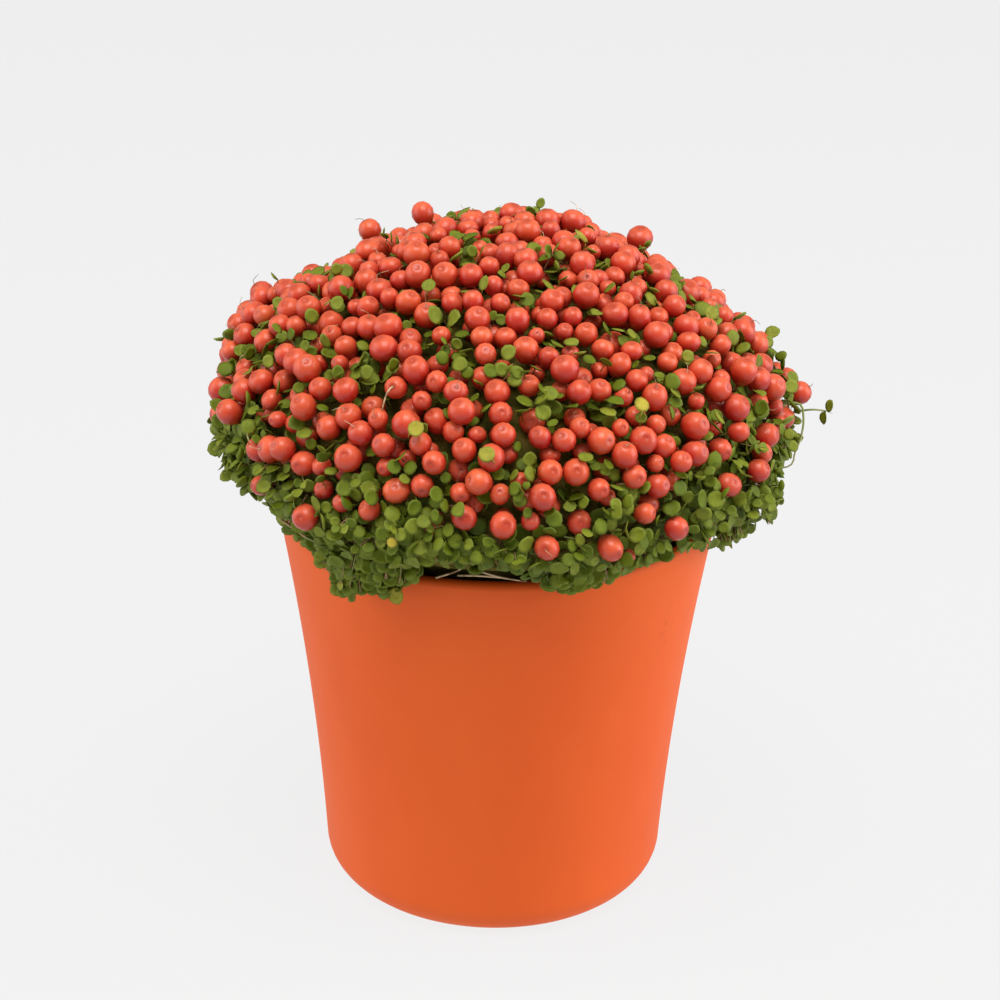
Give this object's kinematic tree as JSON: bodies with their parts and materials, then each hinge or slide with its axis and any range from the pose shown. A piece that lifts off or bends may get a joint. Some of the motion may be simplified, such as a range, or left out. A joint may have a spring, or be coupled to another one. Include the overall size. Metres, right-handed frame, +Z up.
{
  "type": "potted coral bead plant",
  "caption": "Low cushion of small round leaves studded with coral berries, bulging over the rim of a plain flared orange cover pot with a rounded foot and no lip",
  "frame": {"origin": "Middle of the pot's flat underside, which is the bottom face at the base", "axes": "+Z up through the pot's middle, +X to the right and -Y towards the front as the picture shows it"},
  "size_m": [0.1584, 0.1504, 0.1771],
  "materials": {
    "pot_orange": "smooth matte orange, unglazed look",
    "compost_brown": "damp fibrous potting compost",
    "leaf_green": "soft matte green leaf, stands in for plant tissue",
    "berry_coral": "satin coral skin, stands in for fleshy berries"
  },
  "bodies": {
    "root": {"cover_pot": "pot_orange", "compost": "compost_brown", "leaf_cushion": "leaf_green", "berry_spray_0": "berry_coral", "berry_spray_1": "berry_coral", "berry_spray_2": "berry_coral", "berry_spray_3": "berry_coral", "berry_spray_4": "berry_coral", "berry_spray_5": "berry_coral", "berry_spray_6": "berry_coral", "berry_spray_7": "berry_coral"}
  },
  "joints": []
}
